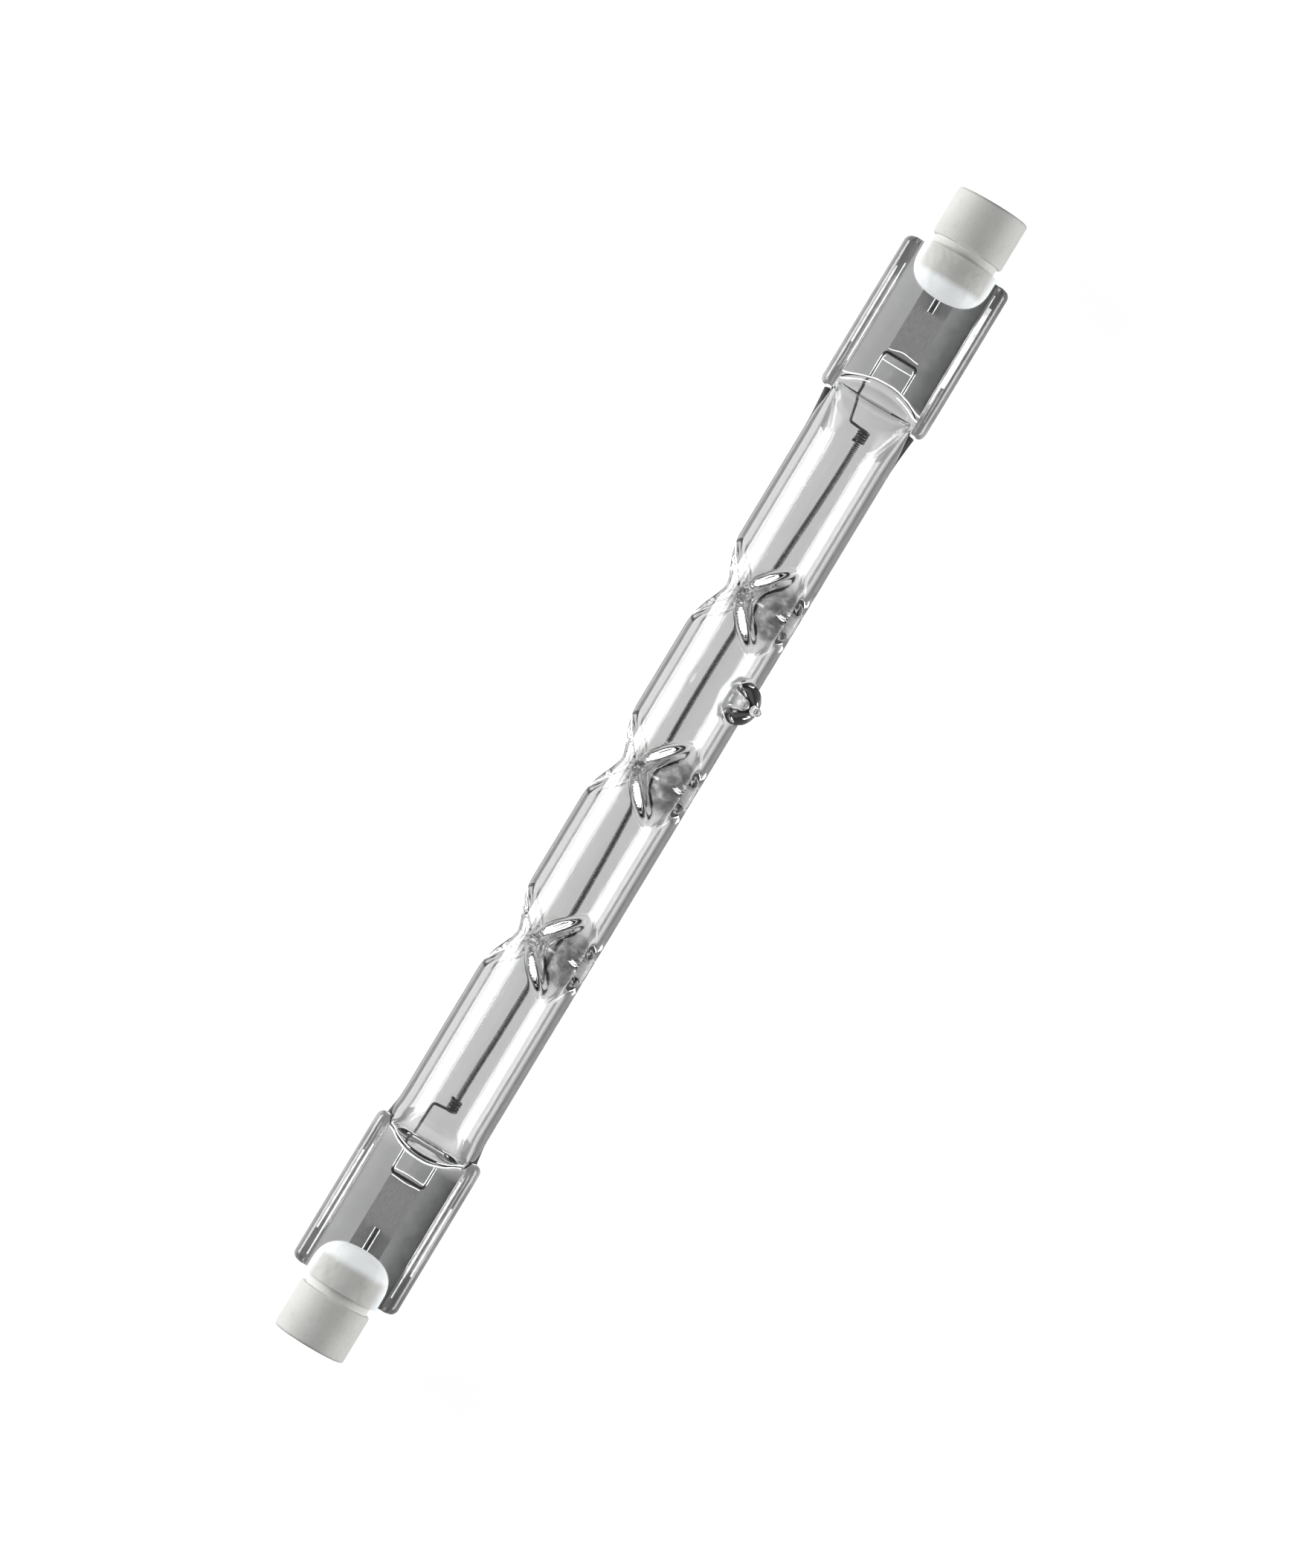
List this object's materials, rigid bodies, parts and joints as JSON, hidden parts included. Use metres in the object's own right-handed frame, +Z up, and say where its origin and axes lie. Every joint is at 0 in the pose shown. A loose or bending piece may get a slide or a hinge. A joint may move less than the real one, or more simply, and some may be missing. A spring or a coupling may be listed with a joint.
{
  "type": "linear halogen bulb",
  "caption": "Slim clear quartz tube bulb with a coiled filament on its axis, flattened sealed ends and white ceramic caps with recessed contacts.",
  "frame": {"origin": "on the tube's axis, half-way between the two caps' outer ends", "axes": "+X along the lamp, +Y across the flat seals on the side of the inner leads' long legs, +Z up, square to the flat seals"},
  "size_m": [0.1176, 0.0108, 0.009],
  "materials": {
    "quartz": "polished",
    "tungsten": "satin",
    "molybdenum_wire": "satin",
    "molybdenum_foil": "satin",
    "ceramic": "matte",
    "contact_metal": "satin",
    "cement": "matte"
  },
  "bodies": {
    "root": {"quartz_envelope": "quartz", "filament": "tungsten", "inner_lead_left": "molybdenum_wire", "foil_left": "molybdenum_foil", "outer_lead_left": "molybdenum_wire", "ceramic_cap_left": "ceramic", "contact_left": "contact_metal", "cement_left": "cement", "inner_lead_right": "molybdenum_wire", "foil_right": "molybdenum_foil", "outer_lead_right": "molybdenum_wire", "ceramic_cap_right": "ceramic", "contact_right": "contact_metal", "cement_right": "cement"}
  },
  "joints": []
}
